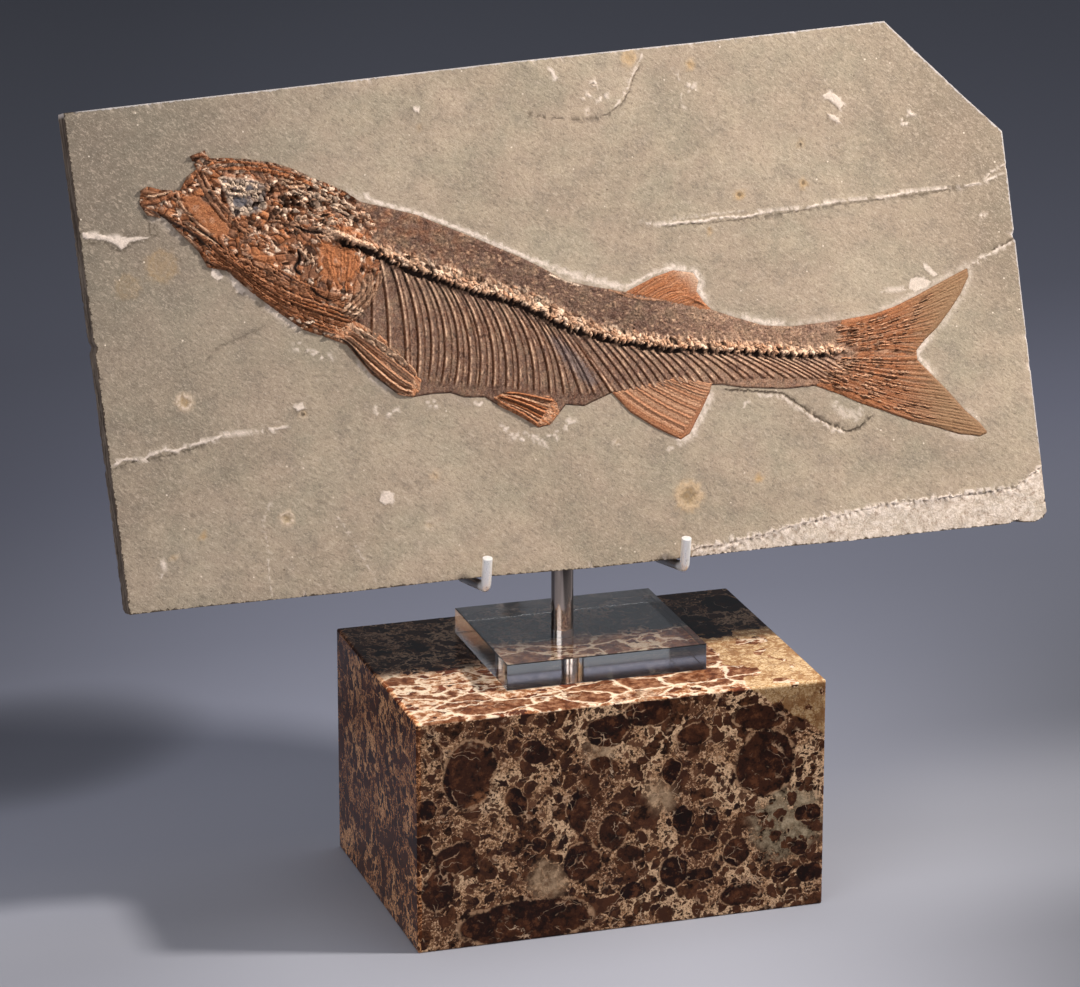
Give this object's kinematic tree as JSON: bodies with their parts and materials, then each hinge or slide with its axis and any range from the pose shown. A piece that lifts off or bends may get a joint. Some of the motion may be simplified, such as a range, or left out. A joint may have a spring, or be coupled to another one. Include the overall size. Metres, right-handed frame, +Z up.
{
  "type": "fossil fish slab",
  "caption": "Slab of pale limestone with one large fossil fish in relief, leaning in steel hooks on a post that rises from a clear plate and a block of brown marble.",
  "frame": {"origin": "middle of the marble block's underside", "axes": "+X right along the block's front, +Y to the back, +Z up; the fish's head is towards -X"},
  "size_m": [0.5548, 0.167, 0.48],
  "materials": {
    "limestone": "split, fine-grained, matt",
    "fossil_bone": "mineralised bone, low sheen",
    "polished_steel": "polished",
    "black_rubber": "matt",
    "clear_acrylic": "clear, polished",
    "brown_marble": "polished"
  },
  "bodies": {
    "root": {"limestone_slab": "limestone", "fossil_fish": "fossil_bone", "left_hook": "polished_steel", "right_hook": "polished_steel", "cross_bar": "polished_steel", "post": "polished_steel", "back_spine": "polished_steel", "rest_bar": "polished_steel", "left_sleeve": "black_rubber", "right_sleeve": "black_rubber", "acrylic_plate": "clear_acrylic", "marble_block": "brown_marble"}
  },
  "joints": []
}
